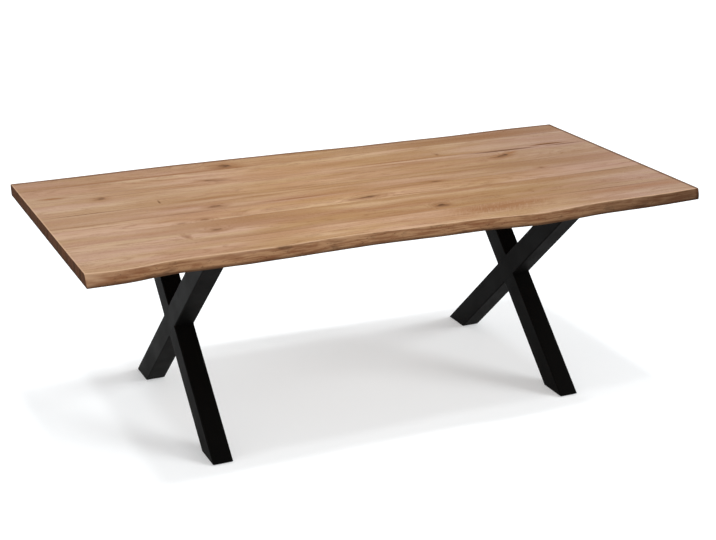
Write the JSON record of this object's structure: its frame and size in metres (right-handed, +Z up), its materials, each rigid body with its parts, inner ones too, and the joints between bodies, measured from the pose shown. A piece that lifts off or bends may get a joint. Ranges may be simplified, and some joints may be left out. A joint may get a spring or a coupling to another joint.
{
  "type": "live edge dining table",
  "caption": "Long dining table with a glued solid oak top, natural wavy long edges and straight sawn ends, on crossed black steel tube frames with levelling glides.",
  "frame": {"origin": "on the floor, under the middle of the top", "axes": "+X along the table to the right of someone facing its front edge, +Y towards the back edge, +Z up"},
  "size_m": [2.2, 1.0718, 0.75],
  "materials": {
    "oak": "oiled, satin",
    "black_powder_coat": "fine matt powder coat",
    "zinc_plated_steel": "zinc plated",
    "black_plastic": "moulded, matt"
  },
  "bodies": {
    "table": {"back_live_edge_plank": "oak", "second_plank": "oak", "third_plank": "oak", "middle_plank": "oak", "fifth_plank": "oak", "sixth_plank": "oak", "front_live_edge_plank": "oak", "left_stiffener_channel": "black_powder_coat", "middle_stiffener_channel": "black_powder_coat", "right_stiffener_channel": "black_powder_coat", "stiffener_bolts": "zinc_plated_steel", "stiffener_inserts": "zinc_plated_steel", "left_frame_long_leg": "black_powder_coat", "left_frame_upper_half_leg": "black_powder_coat", "left_frame_lower_half_leg": "black_powder_coat", "left_frame_mounting_plate": "black_powder_coat", "left_frame_front_foot_cap": "black_powder_coat", "left_frame_back_foot_cap": "black_powder_coat", "left_frame_weld_nuts": "zinc_plated_steel", "left_frame_bolts": "zinc_plated_steel", "left_frame_washers": "zinc_plated_steel", "left_frame_inserts": "zinc_plated_steel", "right_frame_long_leg": "black_powder_coat", "right_frame_upper_half_leg": "black_powder_coat", "right_frame_lower_half_leg": "black_powder_coat", "right_frame_mounting_plate": "black_powder_coat", "right_frame_front_foot_cap": "black_powder_coat", "right_frame_back_foot_cap": "black_powder_coat", "right_frame_weld_nuts": "zinc_plated_steel", "right_frame_bolts": "zinc_plated_steel", "right_frame_washers": "zinc_plated_steel", "right_frame_inserts": "zinc_plated_steel"},
    "front_left_glide": {"front_left_glide_pad": "black_plastic", "front_left_glide_stem": "zinc_plated_steel"},
    "back_left_glide": {"back_left_glide_pad": "black_plastic", "back_left_glide_stem": "zinc_plated_steel"},
    "front_right_glide": {"front_right_glide_pad": "black_plastic", "front_right_glide_stem": "zinc_plated_steel"},
    "back_right_glide": {"back_right_glide_pad": "black_plastic", "back_right_glide_stem": "zinc_plated_steel"}
  },
  "joints": [
    {"name": "front_left_levelling", "type": "slide", "parent": "table", "child": "front_left_glide", "axis": [0, 0, -1], "range_m": [0, 0.01]},
    {"name": "back_left_levelling", "type": "slide", "parent": "table", "child": "back_left_glide", "axis": [0, 0, -1], "range_m": [0, 0.01]},
    {"name": "front_right_levelling", "type": "slide", "parent": "table", "child": "front_right_glide", "axis": [0, 0, -1], "range_m": [0, 0.01]},
    {"name": "back_right_levelling", "type": "slide", "parent": "table", "child": "back_right_glide", "axis": [0, 0, -1], "range_m": [0, 0.01]}
  ]
}
